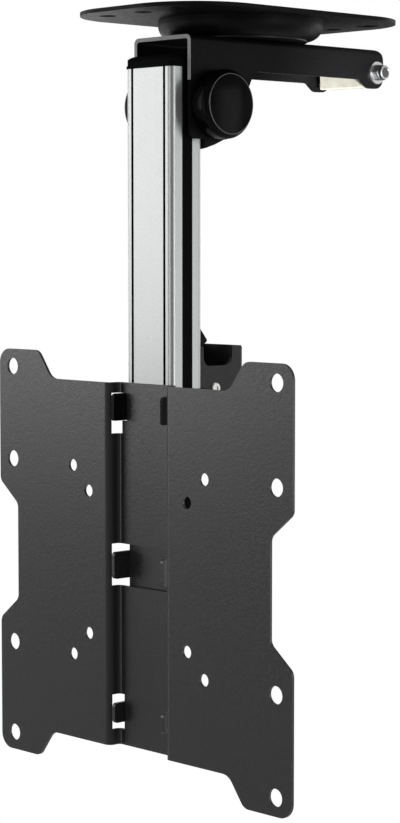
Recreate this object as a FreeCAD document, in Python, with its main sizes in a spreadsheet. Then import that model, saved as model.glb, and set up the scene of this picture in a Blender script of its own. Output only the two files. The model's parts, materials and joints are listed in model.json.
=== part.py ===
# Flip-down television ceiling mount. A pressed ceiling plate carries a swivelling arm, a column folds
# down from the arm's friction hinge, and the screen's plate hooks onto the column's front.
# The frame's origin is the middle of the ceiling plate's top face, on the swivel axis.
# +X is the right-hand side of someone facing the screen's plate, +Y points to the rear, +Z up.
import FreeCAD, Part
import math
import os

import Sketcher

doc = FreeCAD.newDocument("CeilingMount")
sheet = doc.addObject("Spreadsheet::Sheet", "Sizes")
bodies = []


# A number that remembers the spreadsheet formula it came from
class Size:
    def __init__(self, number, text):
        self.number = number
        self.text = text

    def __add__(self, other):
        return Size(self.number + plain(other), f"({self.text} + {formula(other)})")

    def __radd__(self, other):
        return Size(plain(other) + self.number, f"({formula(other)} + {self.text})")

    def __sub__(self, other):
        return Size(self.number - plain(other), f"({self.text} - {formula(other)})")

    def __rsub__(self, other):
        return Size(plain(other) - self.number, f"({formula(other)} - {self.text})")

    def __mul__(self, other):
        return Size(self.number * plain(other), f"({self.text} * {formula(other)})")

    def __rmul__(self, other):
        return Size(plain(other) * self.number, f"({formula(other)} * {self.text})")

    def __truediv__(self, other):
        return Size(self.number / plain(other), f"({self.text} / {formula(other)})")

    def __neg__(self):
        return Size(-self.number, f"(-1 * {self.text})")


def plain(value):
    return value.number if isinstance(value, Size) else float(value)


def formula(value):
    return value.text if isinstance(value, Size) else f"({float(value):.9f})"


def cell(alias, number):
    row = len(sheet.getUsedCells()) + 1
    sheet.set(f"A{row}", str(number))
    sheet.setAlias(f"A{row}", alias)
    return Size(float(number), f"Sizes.{alias}")


# Ceiling plate with its pressed dish
CEILING_WIDTH = cell("ceiling_width", 107)
CEILING_DEPTH = cell("ceiling_depth", 170)
CEILING_SHEET = cell("ceiling_sheet", 2)
CEILING_CORNER = cell("ceiling_corner", 38)
DISH_RIM = cell("dish_rim_radius", 43.2)
DISH_DEPTH = cell("dish_depth", 10.4)
DISH_BEND = cell("dish_bend_radius", 8)
CEILING_HOLE = cell("ceiling_hole_radius", 4.5)
CEILING_HOLE_PITCH = cell("ceiling_hole_pitch", 27)
CEILING_ROW = cell("ceiling_row_offset", 68.5)
CEILING_SLOT = cell("ceiling_slot_length", 14)

# Swivel under the dish
SWIVEL_BOLT = cell("swivel_bolt_radius", 6)
SWIVEL_HEAD_FLATS = cell("swivel_head_flats", 19)
SWIVEL_HEAD = cell("swivel_head_height", 6.5)
SWIVEL_NUT = cell("swivel_nut_height", 10)
SWIVEL_WASHER = cell("swivel_washer_radius", 15)
WASHER_SHEET = cell("washer_sheet", 2)
DISC_RADIUS = cell("swivel_disc_radius", 35)
DISC_SHEET = cell("swivel_disc_sheet", 0.8)
STOP_CIRCLE = cell("stop_circle_radius", 20)
STOP_PIN = cell("stop_pin_radius", 2.5)
SWIVEL_STOP = cell("swivel_stop_degrees", 45)

# Arm, a channel open downwards
ARM_WIDTH = cell("arm_width", 42)
ARM_SHEET = cell("arm_sheet", 2)
ARM_BEND = cell("arm_bend_radius", 3)
ARM_FRONT = cell("arm_front_reach", 18.2)
ARM_TAIL = cell("arm_tail", 5.7)
ARM_SIDE = cell("arm_side_height", 16.5)
ARM_EAR = cell("arm_ear_height", 21)
EAR_START = cell("ear_slope_start", 17.8)
EAR_FOOT = cell("ear_slope_foot", 11.8)
HINGE_FORWARD = cell("hinge_forward", 37.5)
HINGE_DROP = cell("hinge_drop", 34.5)
LOBE_DROP = cell("lobe_drop", 17.5)
ARM_LOBE = cell("arm_lobe_radius", 10)
LOBE_REACH = cell("lobe_reach", 12)
GUSSET_REACH = cell("gusset_reach", 19.5)
GUSSET_END = cell("gusset_end", 27)
ARM_END_ROUND = cell("arm_end_radius", 6)

# Friction hinge
HINGE_BOLT = cell("hinge_bolt_radius", 4)
HINGE_FLATS = cell("hinge_flats", 13)
HINGE_HEAD = cell("hinge_head_height", 5.3)
HINGE_NUT = cell("hinge_nut_height", 6.5)
HINGE_WASHER = cell("hinge_washer_radius", 8)
HINGE_WASHER_SHEET = cell("hinge_washer_sheet", 1.5)
FRICTION_RADIUS = cell("friction_washer_radius", 15)
SPACER_RADIUS = cell("spacer_radius", 5.8)
CAP_RADIUS = cell("cap_radius", 17.5)
CAP_RING = cell("cap_ring_radius", 15.15)
CAP_HEIGHT = cell("cap_height", 12)
CAP_WALL = cell("cap_wall", 1.5)
CAP_DOME = cell("cap_dome", 1.2)
CAP_SHOULDER = cell("cap_shoulder_round", 3)

# Saddle that carries the column
SADDLE_SHEET = cell("saddle_sheet", 2.5)
SADDLE_CHEEK = cell("saddle_cheek_reach", 16)
SADDLE_TOP = cell("saddle_top", 18)
SADDLE_FOOT = cell("saddle_foot", 22.5)
SADDLE_WINDOW = cell("saddle_window", 8)
SADDLE_SCREW_TIP = cell("saddle_screw_tip", 3)
SADDLE_SCREW_LENGTH = cell("saddle_screw_length", 7)

# Column extrusion
COLUMN_WIDTH = cell("column_width", 34.8)
COLUMN_DEPTH = cell("column_depth", 21.6)
COLUMN_GAP = cell("column_gap", 0.3)
COLUMN_RISE = cell("column_rise", 18.3)
COLUMN_LENGTH = cell("column_length", 227.3)
COLUMN_CORNER = cell("column_corner_radius", 3)
COLUMN_WALL = cell("column_wall", 2.2)
GROOVE_OFFSET = cell("groove_offset", 12)
GROOVE_WIDTH = cell("groove_width", 1.7)
GROOVE_DEPTH = cell("groove_depth", 1)
SIDE_SLOT = cell("side_slot_width", 7)
SIDE_SLOT_DEPTH = cell("side_slot_depth", 3.4)
HEAD_CAP = cell("head_cap_height", 6.4)
HEAD_RIM = cell("head_cap_rim", 1.4)
HEAD_LIP = cell("head_cap_lip", 0.4)
HEAD_ROUND = cell("head_cap_round", 4.6)
PLUG_DEPTH = cell("plug_depth", 9)
THREAD = cell("thread_fit", 0.03)

# Plate for the screen
PLATE_HEIGHT = cell("plate_height", 218.6)
PLATE_SHEET = cell("plate_sheet", 1.5)
PLATE_BELOW = cell("plate_below_column", 27)
PLATE_CORNER = cell("plate_corner_radius", 8)
WAIST_INSET = cell("plate_waist_inset", 15)
PLATE_MIDDLE = cell("plate_middle_height", 189.2)
TAB_WIDTH = cell("plate_tab_width", 32.6)
TAB_SLOPE = cell("plate_tab_slope", 11)
PLATE_SIDE = cell("plate_side_length", 71.5)
PLATE_STEP = cell("plate_side_step", 12)
RECESS_WIDTH = cell("recess_width", 42.3)
RECESS_DEPTH = cell("recess_depth", 7.05)
RECESS_BEND = cell("recess_bend_radius", 3.5)
SCREEN_PITCH = cell("screen_pitch", 200)
SCREEN_RISE = cell("screen_rise", 200)
SCREEN_EDGE = cell("screen_edge", 11)
SCREEN_HALF_PITCH = cell("screen_half_pitch", 100)
SCREEN_SMALL_PITCH = cell("screen_small_pitch", 75)
SCREEN_HOLE = cell("screen_hole_radius", 4.5)
SCREEN_SMALL_HOLE = cell("screen_small_hole_radius", 3.25)
HOOK_TOP = cell("hook_top", 89)
HOOK_FOOT = cell("hook_foot", 75)
WINDOW_IN = cell("window_inner_edge", 15.1)
WINDOW_DROP = cell("window_drop", 6.9)
WINDOW_ROOM = cell("window_room", 4)

# Strap and foot bracket with the hooks
STRAP_SHEET = cell("strap_sheet", 2)
STRAP_BACK_TOP = cell("strap_back_top", 92)
FOOT_TOP = cell("foot_bracket_top", 62)
FOOT_LOW = cell("foot_bracket_low", 88)
FOOT_SCREW_PITCH = cell("foot_screw_pitch", 16)
MIDDLE_HOOK = cell("middle_hook_half_height", 7)
LOW_HOOK_TOP = cell("low_hook_top", 72)
LOW_HOOK_FOOT = cell("low_hook_foot", 82.4)

# Latch that holds the column up against the arm
HOUSING_WIDTH = cell("housing_width", 31.2)
HOUSING_SHEET = cell("housing_sheet", 2)
HOUSING_REACH = cell("housing_reach", 31.3)
HOUSING_TOP = cell("housing_top", 113.2)
HOUSING_FOOT = cell("housing_foot", 58)
HOUSING_SCREW_RISE = cell("housing_screw_rise", 8)
HOUSING_SCREW_DROP = cell("housing_screw_drop", 9)
HOUSING_SCREW_LENGTH = cell("housing_screw_length", 6)
NOTCH_DEPTH = cell("notch_depth", 10)
NOTCH_FRONT = cell("notch_front", 2.3)
NOTCH_REAR = cell("notch_rear", 22.6)
WEB_ROUND = cell("housing_web_round", 3.6)
LATCH_SHEET = cell("latch_sheet", 2.8)
LATCH_TRAVEL = cell("latch_travel", 8)
LATCH_PIN = cell("latch_pin_radius", 2.5)
RIVET_HEAD = cell("rivet_head_height", 1)
LATCH_PIN_UP = cell("latch_upper_pin", 91.7)
LATCH_PIN_LOW = cell("latch_lower_pin", 75)
LATCH_PIN_BACK = cell("latch_pin_back", 10.6)
SLIDE_FRONT = cell("slide_front", 5)
SLIDE_BACK = cell("slide_back", 16.6)
SLIDE_FOOT = cell("slide_foot", 60)
SLIDE_LUG = cell("slide_lug_reach", 8)
TAB_REACH = cell("finger_tab_reach", 14)
TAB_SHEET = cell("finger_tab_sheet", 2.1)
CLAW_HEAD = cell("claw_head", 124.6)
CLAW_CROWN = cell("claw_crown_reach", 26.6)
CLAW_TIP = cell("claw_tip_reach", 35)
CLAW_TIP_LEVEL = cell("claw_tip_level", 114.3)
CLAW_INSIDE = cell("claw_inside_reach", 31)
CLAW_ROOF = cell("claw_roof", 119.1)
CLAW_NOSE = cell("claw_nose", 112)
CLAW_ROUND = cell("claw_round", 1)
CLAW_SEAT = cell("claw_seat_gap", 0.4)
SPRING_RADIUS = cell("spring_radius", 2.8)
SPRING_WIRE = cell("spring_wire", 0.5)
SPRING_TURNS = 5
SPRING_INSET = cell("spring_inset", 9.4)
SPRING_TOP = cell("spring_top", 96)
SPRING_FOOT = cell("spring_foot", 67)

# End bolt with its catch block
END_BOLT = cell("end_bolt_radius", 2.5)
END_NUT_FLATS = cell("end_nut_flats", 8)
END_NUT = cell("end_nut_height", 5.5)
END_COLLAR = cell("end_collar_radius", 3.6)
END_COLLAR_HEIGHT = cell("end_collar_height", 1.9)
END_HEAD = cell("end_head_height", 3.5)
END_WASHER = cell("end_washer_radius", 6)
END_WASHER_SHEET = cell("end_washer_sheet", 1.2)
BLOCK_LEFT = cell("block_left", 14.8)
BLOCK_FRONT = cell("block_front", 6.2)
BLOCK_REAR = cell("block_rear", 2.5)
BLOCK_FOOT = cell("block_foot", 7.6)
BLOCK_HEAD = cell("block_head", 7.1)

# Clearances
RUNNING = cell("running_fit", 0.08)
RUB = cell("rub_gap", 0.05)
LOOSE = cell("loose_fit", 0.2)
SCREW = cell("screw_radius", 2)
SCREW_HEAD = cell("screw_head_radius", 3.6)
SCREW_HEAD_HEIGHT = cell("screw_head_height", 2.4)

# Levels and places that follow from the sizes
CEILING_FACE = CEILING_SHEET * 0
DISH_BOTTOM = -(CEILING_SHEET + DISH_DEPTH)
DISH_FLOOR = DISH_BOTTOM + CEILING_SHEET
ARM_TOP = DISH_BOTTOM - DISC_SHEET
ARM_ROOF = ARM_TOP - ARM_SHEET
HINGE_Y = -HINGE_FORWARD
HINGE_Z = ARM_TOP - HINGE_DROP
ARM_HALF = ARM_WIDTH / 2
ARM_INNER = ARM_HALF - ARM_SHEET
CHEEK_OUT = ARM_INNER - HINGE_WASHER_SHEET
CHEEK_IN = CHEEK_OUT - SADDLE_SHEET
COLUMN_HALF = COLUMN_WIDTH / 2
COLUMN_BACK = HINGE_Y - SPACER_RADIUS - COLUMN_GAP
COLUMN_FRONT = COLUMN_BACK - COLUMN_DEPTH
COLUMN_TOP = HINGE_Z + COLUMN_RISE
COLUMN_LOW = COLUMN_TOP - COLUMN_LENGTH
CAVITY_HALF = COLUMN_HALF - SIDE_SLOT_DEPTH - COLUMN_WALL
CAVITY_FRONT = COLUMN_FRONT + COLUMN_WALL
CAVITY_BACK = COLUMN_BACK - COLUMN_WALL
SLOT_MIDDLE = COLUMN_FRONT + COLUMN_DEPTH / 2
PLATE_Z = COLUMN_LOW - PLATE_BELOW
PLATE_WIDTH = SCREEN_PITCH + SCREEN_EDGE * 2
PANEL_BACK = COLUMN_FRONT
PANEL_FRONT = PANEL_BACK - PLATE_SHEET
WING_FRONT = PANEL_FRONT - RECESS_DEPTH
WING_BACK = WING_FRONT + PLATE_SHEET
WALL_IN = RECESS_WIDTH / 2
WALL_OUT = WALL_IN + PLATE_SHEET
HOOK_IN = COLUMN_HALF + LOOSE
HOOK_OUT = HOOK_IN + STRAP_SHEET
HOOK_TIP = WING_FRONT + 0.45
STRAP_BACK = COLUMN_BACK + STRAP_SHEET
HOUSING_HALF = HOUSING_WIDTH / 2
HOUSING_BACK = COLUMN_BACK + HOUSING_REACH
LATCH_RIGHT = -(HOUSING_HALF + LOOSE)
LATCH_LEFT = LATCH_RIGHT - LATCH_SHEET
END_Y = HINGE_Y + HINGE_Z - PLATE_Z - CLAW_ROOF + CLAW_SEAT + END_BOLT
END_Z = HINGE_Z - HINGE_Y + COLUMN_BACK + CLAW_INSIDE - CLAW_SEAT - END_BOLT


def new_body(name):
    body = doc.addObject("PartDesign::Body", name)
    body.Label = name
    bodies.append(body)
    return body


def bind(target, path, value):
    target.setExpression(path, formula(value))


def settle(feature):
    doc.recompute()
    if not feature.isValid():
        raise ValueError(f"{feature.Label} is {feature.State}: {feature.getStatusString()}")


def new_sketch(body, plane, x=0, y=0, z=0):
    sketch = body.newObject("Sketcher::SketchObject", f"{body.Name}_sketch")
    for feature in body.Origin.OriginFeatures:
        if feature.Role == f"{plane}_Plane":
            sketch.AttachmentSupport = [(feature, "")]
    sketch.MapMode = "FlatFace"
    bind(sketch, "AttachmentOffset.Base.x", x)
    bind(sketch, "AttachmentOffset.Base.y", y)
    bind(sketch, "AttachmentOffset.Base.z", z)
    return sketch


# Closed outline through corners given as (across, up) or, where rounded, (across, up, radius)
def outline(corners):
    def draw(sketch):
        first = sketch.GeometryCount
        count = len(corners)
        points = [FreeCAD.Vector(plain(corner[0]), plain(corner[1]), 0) for corner in corners]
        rounds = {}
        for i, corner in enumerate(corners):
            if len(corner) == 3:
                rounds[i] = corner_arc(points[i - 1], points[i], points[(i + 1) % count], plain(corner[2]))
        lines = []
        for i in range(count):
            after = (i + 1) % count
            start = rounds[i][1] if i in rounds else points[i]
            finish = rounds[after][0] if after in rounds else points[after]
            lines.append(Part.LineSegment(start, finish))
        sketch.addGeometry(lines, False)
        for i, corner in enumerate(corners):
            before = first + (i - 1) % count
            if i in rounds:
                tie_round_corner(sketch, before, first + i, points[i], rounds[i], corner)
            else:
                sketch.addConstraint(Sketcher.Constraint("Coincident", before, 2, first + i, 1))
                place_point(sketch, first + i, 1, corner[0], corner[1])
    return draw


# Tangent points, arc and turning side of a rounded corner
def corner_arc(before, corner, after, radius):
    back = (before - corner).normalize()
    ahead = (after - corner).normalize()
    half = back.getAngle(ahead) / 2
    start = corner + back * (radius / math.tan(half))
    finish = corner + ahead * (radius / math.tan(half))
    centre = corner + (back + ahead).normalize() * (radius / math.sin(half))
    left = (corner - before).cross(after - corner).z > 0
    low, high = (start, finish) if left else (finish, start)
    low_turn = math.atan2(low.y - centre.y, low.x - centre.x)
    high_turn = math.atan2(high.y - centre.y, high.x - centre.x)
    if high_turn < low_turn:
        high_turn += 2 * math.pi
    ring = Part.Circle(centre, FreeCAD.Vector(0, 0, 1), radius)
    return start, finish, Part.ArcOfCircle(ring, low_turn, high_turn), left


def tie_round_corner(sketch, before, after, point, rounded, corner):
    arc = sketch.addGeometry(rounded[2], False)
    mark = sketch.addGeometry(Part.Point(point), True)
    enter, leave = (1, 2) if rounded[3] else (2, 1)
    sketch.addConstraint([
        Sketcher.Constraint("Tangent", before, 2, arc, enter),
        Sketcher.Constraint("Tangent", arc, leave, after, 1),
        Sketcher.Constraint("PointOnObject", mark, 1, before),
        Sketcher.Constraint("PointOnObject", mark, 1, after)])
    place_point(sketch, mark, 1, corner[0], corner[1])
    number = sketch.addConstraint(Sketcher.Constraint("Radius", arc, plain(corner[2])))
    if isinstance(corner[2], Size):
        sketch.setExpression(f"Constraints[{number}]", corner[2].text)


def place_point(sketch, geometry, vertex, across, up):
    for kind, value in (("DistanceX", across), ("DistanceY", up)):
        number = sketch.addConstraint(Sketcher.Constraint(kind, -1, 1, geometry, vertex, plain(value)))
        if isinstance(value, Size):
            sketch.setExpression(f"Constraints[{number}]", value.text)


def box(left, right, low, high):
    return outline([(left, low), (right, low), (right, high), (left, high)])


def rounded_box(left, right, low, high, radius):
    return outline([
        (left, low, radius), (right, low, radius), (right, high, radius), (left, high, radius)])


def circle(across, up, radius):
    def draw(sketch):
        centre = FreeCAD.Vector(plain(across), plain(up), 0)
        made = sketch.addGeometry(Part.Circle(centre, FreeCAD.Vector(0, 0, 1), plain(radius)), False)
        place_point(sketch, made, 3, across, up)
        number = sketch.addConstraint(Sketcher.Constraint("Radius", made, plain(radius)))
        if isinstance(radius, Size):
            sketch.setExpression(f"Constraints[{number}]", radius.text)
    return draw


def hexagon(across, up, flats):
    reach = flats / math.sqrt(3)
    turns = [math.radians(60 * i) for i in range(6)]
    return outline([(across + reach * math.cos(turn), up + reach * math.sin(turn)) for turn in turns])


def drawn(body, plane, offset, outlines):
    sketch = new_sketch(body, plane, z=offset)
    for draw in outlines:
        draw(sketch)
    return sketch


# Adds the outlines' area from low to high along the plane's normal axis
def pad(body, plane, low, high, *outlines):
    sketch = drawn(body, plane, -high if plane == "XZ" else low, outlines)
    feature = body.newObject("PartDesign::Pad", f"{body.Name}_pad")
    feature.Profile = sketch
    bind(feature, "Length", high - low)
    settle(feature)


# Takes the outlines' area away from low to high along the plane's normal axis
def pocket(body, plane, low, high, *outlines):
    before = body.Shape.Volume
    sketch = drawn(body, plane, -low if plane == "XZ" else high, outlines)
    feature = body.newObject("PartDesign::Pocket", f"{body.Name}_pocket")
    feature.Profile = sketch
    bind(feature, "Length", high - low)
    settle(feature)
    if body.Shape.Volume >= before:
        raise ValueError(f"{body.Label}: a pocket cut nothing")


# Cuts a body to an outline, seen along the plane's normal axis
def trim(body, plane, low, high, corners):
    across = sorted(plain(corner[0]) for corner in corners)
    up = sorted(plain(corner[1]) for corner in corners)
    room = 60
    pocket(body, plane, low, high,
           box(across[0] - room, across[-1] + room, up[0] - room, up[-1] + room), outline(corners))


# Revolves corners given as (along the axis, radius) about an axis parallel to X, Y or Z
def revolved_sketch(body, axis, centre, corners):
    first, second = centre
    if axis == "X":
        sketch = new_sketch(body, "XZ", y=second, z=-first)
    elif axis == "Y":
        sketch = new_sketch(body, "YZ", y=second, z=first)
    else:
        sketch = new_sketch(body, "XZ", x=first, z=-second)
        corners = [(corner[1], corner[0]) + corner[2:] for corner in corners]
    outline(corners)(sketch)
    return sketch, "V_Axis" if axis == "Z" else "H_Axis"


def turned(body, axis, centre, corners):
    sketch, name = revolved_sketch(body, axis, centre, corners)
    feature = body.newObject("PartDesign::Revolution", f"{body.Name}_turned")
    feature.Profile = sketch
    feature.ReferenceAxis = (sketch, [name])
    feature.Angle = 360
    settle(feature)


def grooved(body, axis, centre, corners):
    before = body.Shape.Volume
    sketch, name = revolved_sketch(body, axis, centre, corners)
    feature = body.newObject("PartDesign::Groove", f"{body.Name}_groove")
    feature.Profile = sketch
    feature.ReferenceAxis = (sketch, [name])
    feature.Angle = 360
    settle(feature)
    if body.Shape.Volume >= before:
        raise ValueError(f"{body.Label}: a groove cut nothing")


AXES = {"X": FreeCAD.Vector(1, 0, 0), "Y": FreeCAD.Vector(0, 1, 0), "Z": FreeCAD.Vector(0, 0, 1)}


# Names of the straight edges that run along an axis through one of the spots of the plane across it
def straight_edges(body, axis, spots):
    names = []
    for number, edge in enumerate(body.Shape.Edges, 1):
        if not isinstance(edge.Curve, Part.Line):
            continue
        start = edge.Vertexes[0].Point
        if (edge.Vertexes[-1].Point - start).cross(AXES[axis]).Length > 1e-4:
            continue
        flat = [start[i] for i in range(3) if "XYZ"[i] != axis]
        for across, up in spots:
            if math.hypot(flat[0] - plain(across), flat[1] - plain(up)) < 1e-3:
                names.append(f"Edge{number}")
    return names


def fillet(body, axis, radius, *spots):
    base = body.Tip
    names = straight_edges(body, axis, spots)
    if not names:
        raise ValueError(f"{body.Label}: no edges found for a fillet")
    feature = body.newObject("PartDesign::Fillet", f"{body.Name}_fillet")
    feature.Base = (base, names)
    bind(feature, "Radius", radius)
    settle(feature)


# Hexagon bolt, screw or nut pieces along an axis: centre is given in the plane across that axis
def hex_prism(body, axis, centre, flats, low, high):
    plane = {"X": "YZ", "Y": "XZ", "Z": "XY"}[axis]
    pad(body, plane, low, high, hexagon(centre[0], centre[1], flats))


# Bevels a hexagon's corners at the end face that lies at a place along its axis
def bevel_corners(body, axis, centre, flats, end, inward):
    inner = flats * 0.48
    outer = flats * 0.62
    grooved(body, axis, centre, [(end, inner), (end, outer), (end + (outer - inner) * 0.6 * inward, outer)])


def tube(body, axis, centre, outer, bore, low, high):
    turned(body, axis, centre, [(low, bore), (high, bore), (high, outer), (low, outer)])


def rod(body, axis, centre, radius, low, high):
    turned(body, axis, centre, [(low, 0), (high, 0), (high, radius), (low, radius)])


def build_ceiling_plate():
    body = new_body("ceiling_plate")
    half_width = CEILING_WIDTH / 2
    half_depth = CEILING_DEPTH / 2
    wall = DISH_RIM - CEILING_SHEET
    bore = SWIVEL_BOLT + THREAD
    bevel = (DISH_BEND - CEILING_SHEET) * 0.7
    pad(body, "XY", -CEILING_SHEET, CEILING_FACE,
        rounded_box(-half_width, half_width, -half_depth, half_depth, CEILING_CORNER))
    pocket(body, "XY", -CEILING_SHEET, CEILING_FACE, circle(0, 0, wall))
    turned(body, "Z", (0, 0), [
        (-CEILING_SHEET, wall), (-CEILING_SHEET, DISH_RIM), (DISH_BOTTOM, DISH_RIM, DISH_BEND),
        (DISH_BOTTOM, bore), (DISH_FLOOR, bore), (DISH_FLOOR, wall - bevel), (DISH_FLOOR + bevel, wall)])
    pocket(body, "XY", DISH_BOTTOM, DISH_FLOOR, circle(0, STOP_CIRCLE, STOP_PIN))
    for column in (-1, 0, 1):
        across = CEILING_HOLE_PITCH * column
        pocket(body, "XY", -CEILING_SHEET, CEILING_FACE, circle(across, -CEILING_ROW, CEILING_HOLE))
        reach = CEILING_SLOT / 2 - CEILING_HOLE
        pocket(body, "XY", -CEILING_SHEET, CEILING_FACE,
               box(across - reach, across + reach, CEILING_ROW - CEILING_HOLE, CEILING_ROW + CEILING_HOLE))
        for side in (-1, 1):
            pocket(body, "XY", -CEILING_SHEET, CEILING_FACE,
                   circle(across + reach * side, CEILING_ROW, CEILING_HOLE))


def build_swivel():
    top = DISH_FLOOR + WASHER_SHEET
    washer_top = ARM_ROOF - RUB
    washer_low = washer_top - WASHER_SHEET
    nut_low = washer_low - SWIVEL_NUT
    bolt = new_body("swivel_bolt")
    hex_prism(bolt, "Z", (0, 0), SWIVEL_HEAD_FLATS, top, top + SWIVEL_HEAD)
    rod(bolt, "Z", (0, 0), SWIVEL_BOLT, nut_low - WASHER_SHEET, top)
    washer = new_body("swivel_top_washer")
    tube(washer, "Z", (0, 0), SWIVEL_WASHER, SWIVEL_BOLT + LOOSE, DISH_FLOOR, top)
    disc = new_body("swivel_disc")
    tube(disc, "Z", (0, 0), DISC_RADIUS, SWIVEL_BOLT + LOOSE, ARM_TOP + RUB, DISH_BOTTOM)
    pocket(disc, "XY", ARM_TOP, DISH_BOTTOM, circle(0, STOP_CIRCLE, STOP_PIN + LOOSE))
    low_washer = new_body("swivel_low_washer")
    tube(low_washer, "Z", (0, 0), SWIVEL_WASHER, SWIVEL_BOLT + LOOSE, washer_low, washer_top)
    nut = new_body("swivel_nut")
    hex_prism(nut, "Z", (0, 0), SWIVEL_HEAD_FLATS, nut_low, washer_low)
    bevel_corners(nut, "Z", (0, 0), SWIVEL_HEAD_FLATS, nut_low, 1)
    pocket(nut, "XY", nut_low, washer_low, circle(0, 0, SWIVEL_BOLT + THREAD))
    pin = new_body("swivel_stop_pin")
    rod(pin, "Z", (0, STOP_CIRCLE), STOP_PIN, ARM_ROOF - 1, DISH_FLOOR + 1)


def arm_outline():
    front = HINGE_Y - ARM_FRONT
    rear = END_Y + ARM_TAIL
    side_low = ARM_TOP - ARM_SIDE
    ear_low = ARM_TOP - ARM_EAR
    lobe_low = HINGE_Z - LOBE_DROP
    return [
        (front, ARM_TOP + 1), (front, lobe_low, ARM_BEND), (HINGE_Y + LOBE_REACH, lobe_low, ARM_LOBE),
        (HINGE_Y + GUSSET_REACH, HINGE_Z + 2, ARM_LOBE), (HINGE_Y + GUSSET_END, side_low, ARM_LOBE / 2),
        (rear - EAR_START, side_low, ARM_BEND), (rear - EAR_FOOT, ear_low, ARM_LOBE / 2),
        (rear, ear_low, ARM_END_ROUND), (rear, ARM_TOP, ARM_END_ROUND), (rear - ARM_EAR, ARM_TOP),
        (rear - ARM_EAR, ARM_TOP + 1)]


# Outline of a channel section that opens towards a level, with bends of one radius
def channel_section(half, sheet, bend, open_level, closed_level):
    inward = sheet if plain(open_level) > plain(closed_level) else -sheet
    return [
        (-half, open_level), (-half, closed_level, bend), (half, closed_level, bend), (half, open_level),
        (half - sheet, open_level), (half - sheet, closed_level + inward, bend - sheet * 0.8),
        (sheet - half, closed_level + inward, bend - sheet * 0.8), (sheet - half, open_level)]


def build_arm():
    body = new_body("arm_channel")
    front = HINGE_Y - ARM_FRONT
    rear = END_Y + ARM_TAIL
    lobe_low = HINGE_Z - LOBE_DROP
    pad(body, "XZ", front, rear, outline(channel_section(ARM_HALF, ARM_SHEET, ARM_BEND, lobe_low, ARM_TOP)))
    trim(body, "YZ", -ARM_HALF, ARM_HALF, arm_outline())
    pocket(body, "YZ", -ARM_HALF, ARM_HALF, circle(HINGE_Y, HINGE_Z, HINGE_BOLT + LOOSE))
    pocket(body, "YZ", -ARM_HALF, ARM_HALF, circle(END_Y, END_Z, END_BOLT + LOOSE))
    pocket(body, "XY", ARM_ROOF, ARM_TOP, circle(0, 0, SWIVEL_BOLT + RUNNING))
    cut_stop_slot(body)


# Arc slot in the arm's top that the ceiling plate's stop pin runs in
def cut_stop_slot(body):
    width = STOP_PIN + LOOSE
    reach = plain(SWIVEL_STOP) + 1
    before = body.Shape.Volume
    sketch = new_sketch(body, "YZ")
    box(STOP_CIRCLE - width, STOP_CIRCLE + width, ARM_ROOF, ARM_TOP)(sketch)
    feature = body.newObject("PartDesign::Groove", "arm_channel_slot")
    feature.Profile = sketch
    feature.ReferenceAxis = (sketch, ["V_Axis"])
    feature.Midplane = True
    bind(feature, "Angle", (SWIVEL_STOP + 1) * 2)
    settle(feature)
    if body.Shape.Volume >= before:
        raise ValueError("arm_channel: the stop slot cut nothing")
    for side in (-1, 1):
        turn = math.radians(reach * side)
        pocket(body, "XY", ARM_ROOF, ARM_TOP,
               circle(STOP_CIRCLE * math.sin(turn), STOP_CIRCLE * math.cos(turn), width))


def build_hinge():
    axis = (HINGE_Y, HINGE_Z)
    outside = ARM_HALF + HINGE_WASHER_SHEET
    bolt = new_body("hinge_bolt")
    rod(bolt, "X", axis, HINGE_BOLT, -outside, outside + HINGE_NUT + 1)
    hex_prism(bolt, "X", axis, HINGE_FLATS, -outside - HINGE_HEAD, -outside)
    nut = new_body("hinge_nut")
    hex_prism(nut, "X", axis, HINGE_FLATS, outside, outside + HINGE_NUT)
    pocket(nut, "YZ", outside, outside + HINGE_NUT, circle(HINGE_Y, HINGE_Z, HINGE_BOLT + THREAD))
    bore = HINGE_BOLT + LOOSE
    left = new_body("hinge_washer_left")
    tube(left, "X", axis, HINGE_WASHER, bore, -outside, -ARM_HALF)
    right = new_body("hinge_washer_right")
    tube(right, "X", axis, HINGE_WASHER, bore, ARM_HALF, outside)
    left_friction = new_body("friction_washer_left")
    tube(left_friction, "X", axis, FRICTION_RADIUS, bore, -ARM_INNER, -CHEEK_OUT - RUB)
    right_friction = new_body("friction_washer_right")
    tube(right_friction, "X", axis, FRICTION_RADIUS, bore, CHEEK_OUT + RUB, ARM_INNER)
    spacer = new_body("hinge_spacer")
    tube(spacer, "X", axis, SPACER_RADIUS, bore, -CHEEK_IN + RUB, CHEEK_IN - RUB)
    for name, side in (("cap_left", -1), ("cap_right", 1)):
        build_hinge_cap(name, side)


# Hollow cap over the bolt's head or nut: a crisp ring edge round a shallow dome
def build_hinge_cap(name, side):
    cap = new_body(name)
    base = ARM_HALF
    shoulder = base + CAP_HEIGHT * 0.7
    face = base + CAP_HEIGHT - CAP_DOME
    crown = base + CAP_HEIGHT
    corners = [
        (base, CAP_RADIUS - CAP_WALL), (base, CAP_RADIUS), (shoulder, CAP_RADIUS, CAP_SHOULDER),
        (face, CAP_RING), (crown, CAP_RING / 2, CAP_RING * 5.5), (crown, 0),
        (crown - CAP_WALL, 0), (crown - CAP_WALL, CAP_RING / 2), (face - CAP_WALL, CAP_RING - CAP_WALL),
        (shoulder - CAP_WALL, CAP_RADIUS - CAP_WALL)]
    turned(cap, "X", (HINGE_Y, HINGE_Z), [(corner[0] * side,) + corner[1:] for corner in corners])


def saddle_screw_spots():
    across = CAVITY_HALF * 0.7
    rises = (SADDLE_TOP * 0.72, -SADDLE_FOOT * 0.66)
    return [(across * side, HINGE_Z + rise) for side in (-1, 1) for rise in rises]


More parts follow.
